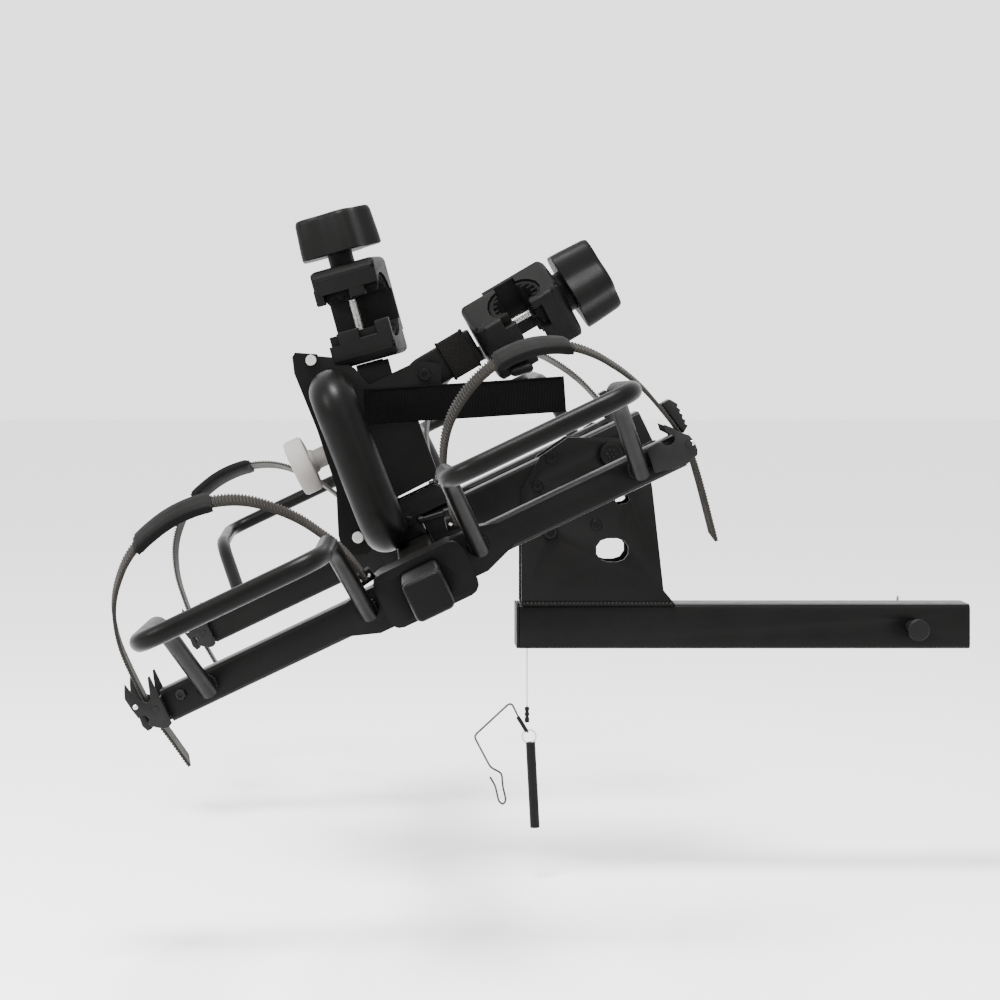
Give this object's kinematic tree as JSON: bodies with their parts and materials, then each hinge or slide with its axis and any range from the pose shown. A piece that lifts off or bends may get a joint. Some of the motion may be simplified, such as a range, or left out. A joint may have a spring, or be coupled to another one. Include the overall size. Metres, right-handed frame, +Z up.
{
  "type": "hitch mounted bike rack",
  "caption": "Tilting platform bicycle rack for a receiver hitch, with wheel hoops and ratchet straps on a cross beam and a folding mast with screw frame clamps.",
  "frame": {"origin": "middle of the top face of the hitch shank, straight above the hitch pin", "axes": "+Z up, square to the shank's top face; +X along the shank towards the vehicle; +Y along the cross beam"},
  "size_m": [0.94, 1.377, 0.7184],
  "materials": {
    "black_steel": "satin powder coat",
    "black_plastic": "matte",
    "black_rubber": "matte, ribbed",
    "black_webbing": "woven",
    "zinc": "zinc plated"
  },
  "bodies": {
    "shank": {"shank_tube": "black_steel", "shank_rear_plug": "black_plastic", "bracket_plate_right": "black_steel", "bracket_plate_left": "black_steel", "bracket_stop_bolt": "zinc", "tilt_pivot_bolt": "black_steel", "lanyard_cord": "zinc", "lanyard_crimp": "black_rubber", "lock_pin": "black_rubber", "lock_pin_bail": "zinc"},
    "hitch_pin": {"hitch_pin": "black_steel"},
    "pin_clip": {"hitch_pin_clip": "zinc"},
    "platform": {"spine_tube": "black_steel", "cross_beam": "black_steel", "beam_cap_right": "black_plastic", "beam_cap_left": "black_plastic", "mast_foot_bracket": "black_steel", "mast_fold_bolt": "zinc"},
    "cradle_right": {"carriage_right": "black_steel", "hoop_outer_right": "black_steel", "strap_outer_right": "black_rubber", "strap_pad_outer_right": "black_webbing", "ratchet_base_outer_right": "zinc", "hoop_inner_right": "black_steel", "strap_inner_right": "black_rubber", "strap_pad_inner_right": "black_webbing", "ratchet_base_inner_right": "zinc"},
    "cradle_left": {"carriage_left": "black_steel", "hoop_outer_left": "black_steel", "strap_outer_left": "black_rubber", "strap_pad_outer_left": "black_webbing", "ratchet_base_outer_left": "zinc", "hoop_inner_left": "black_steel", "strap_inner_left": "black_rubber", "strap_pad_inner_left": "black_webbing", "ratchet_base_inner_left": "zinc"},
    "mast": {"mast_post": "black_steel", "mast_cheek_right": "black_steel", "mast_cheek_left": "black_steel", "grab_handle_right": "black_steel", "grab_handle_left": "black_steel", "mast_top_bolt": "zinc", "arm_1": "black_steel", "clamp_1_lower_jaw": "black_plastic", "arm_2_bolt": "zinc", "mast_strap": "black_webbing"},
    "lock_knob": {"mast_lock_knob": "black_plastic"},
    "clamp_1_jaw": {"clamp_1_upper_jaw": "black_plastic"},
    "clamp_1_knob": {"clamp_1_knob": "black_plastic"},
    "arm_2": {"arm_2": "black_steel", "arm_strap": "black_webbing"},
    "clamp_2": {"clamp_2_lower_jaw": "black_plastic"},
    "clamp_2_jaw": {"clamp_2_upper_jaw": "black_plastic"},
    "clamp_2_knob": {"clamp_2_knob": "black_plastic"},
    "ratchet_outer_right": {"ratchet_lever_outer_right": "zinc"},
    "ratchet_outer_left": {"ratchet_lever_outer_left": "zinc"},
    "ratchet_inner_right": {"ratchet_lever_inner_right": "zinc"},
    "ratchet_inner_left": {"ratchet_lever_inner_left": "zinc"}
  },
  "joints": [
    {"name": "hitch_pin_turn", "type": "hinge", "parent": "shank", "child": "hitch_pin", "pos_m": [0, 0, -0.0254], "axis": [0, 1, 0], "range_deg": [-180, 180]},
    {"name": "pin_clip_slide", "type": "slide", "parent": "hitch_pin", "child": "pin_clip", "axis": [0, 0, -1], "range_m": [0, 0.045]},
    {"name": "platform_tilt", "type": "hinge", "parent": "shank", "child": "platform", "pos_m": [-0.343, 0, 0.1712], "axis": [0, 1, 0], "range_deg": [0, 115.5]},
    {"name": "cradle_right_slide", "type": "slide", "parent": "platform", "child": "cradle_right", "axis": [0, 1, 0], "range_m": [-0.03, 0.1]},
    {"name": "cradle_left_slide", "type": "slide", "parent": "platform", "child": "cradle_left", "axis": [0, -1, 0], "range_m": [-0.03, 0.1]},
    {"name": "mast_fold", "type": "hinge", "parent": "platform", "child": "mast", "pos_m": [-0.63102, 0, 0.07703], "axis": [0, -1, 0], "range_deg": [0, 85]},
    {"name": "mast_lock_turn", "type": "hinge", "parent": "mast", "child": "lock_knob", "pos_m": [-0.69124, 0, 0.15799], "axis": [0.9026, 0, 0.4305], "range_deg": [-180, 180]},
    {"name": "clamp_1_screw", "type": "hinge", "parent": "clamp_1_jaw", "child": "clamp_1_knob", "pos_m": [-0.65212, 0.006, 0.39977], "axis": [0.2639, 0, -0.9646], "range_deg": [0, 2520]},
    {"name": "clamp_1_close", "type": "slide", "parent": "mast", "child": "clamp_1_jaw", "axis": [0.2639, 0, -0.9646], "range_m": [0, 0.021]},
    {"name": "arm_2_swing", "type": "hinge", "parent": "mast", "child": "arm_2", "pos_m": [-0.55544, 0, 0.26166], "axis": [0, -1, 0], "range_deg": [0, 25]},
    {"name": "clamp_2_swivel", "type": "hinge", "parent": "arm_2", "child": "clamp_2", "pos_m": [-0.49596, 0, 0.29674], "axis": [0.8616, 0, 0.5075], "range_deg": [-90, 90]},
    {"name": "clamp_2_close", "type": "slide", "parent": "clamp_2", "child": "clamp_2_jaw", "axis": [-0.8616, 0, -0.5075], "range_m": [0, 0.021]},
    {"name": "clamp_2_screw", "type": "hinge", "parent": "clamp_2_jaw", "child": "clamp_2_knob", "pos_m": [-0.37792, 0.006, 0.36627], "axis": [-0.8616, 0, -0.5075], "range_deg": [0, 2520]},
    {"name": "ratchet_outer_right_lift", "type": "hinge", "parent": "cradle_right", "child": "ratchet_outer_right", "pos_m": [-0.8399, -0.33, -0.09129], "axis": [0, -1, 0], "range_deg": [0, 60]},
    {"name": "ratchet_outer_left_lift", "type": "hinge", "parent": "cradle_left", "child": "ratchet_outer_left", "pos_m": [-0.8399, 0.33, -0.09129], "axis": [0, -1, 0], "range_deg": [0, 60]},
    {"name": "ratchet_inner_right_lift", "type": "hinge", "parent": "cradle_right", "child": "ratchet_inner_right", "pos_m": [-0.29852, -0.33, 0.20571], "axis": [0, 1, 0], "range_deg": [0, 60]},
    {"name": "ratchet_inner_left_lift", "type": "hinge", "parent": "cradle_left", "child": "ratchet_inner_left", "pos_m": [-0.29852, 0.33, 0.20571], "axis": [0, 1, 0], "range_deg": [0, 60]}
  ],
  "couplings": [
    {"joint": "clamp_1_close", "follows": "clamp_1_screw", "m_per_rad": 0.00047746},
    {"joint": "clamp_2_close", "follows": "clamp_2_screw", "m_per_rad": 0.00047746}
  ]
}
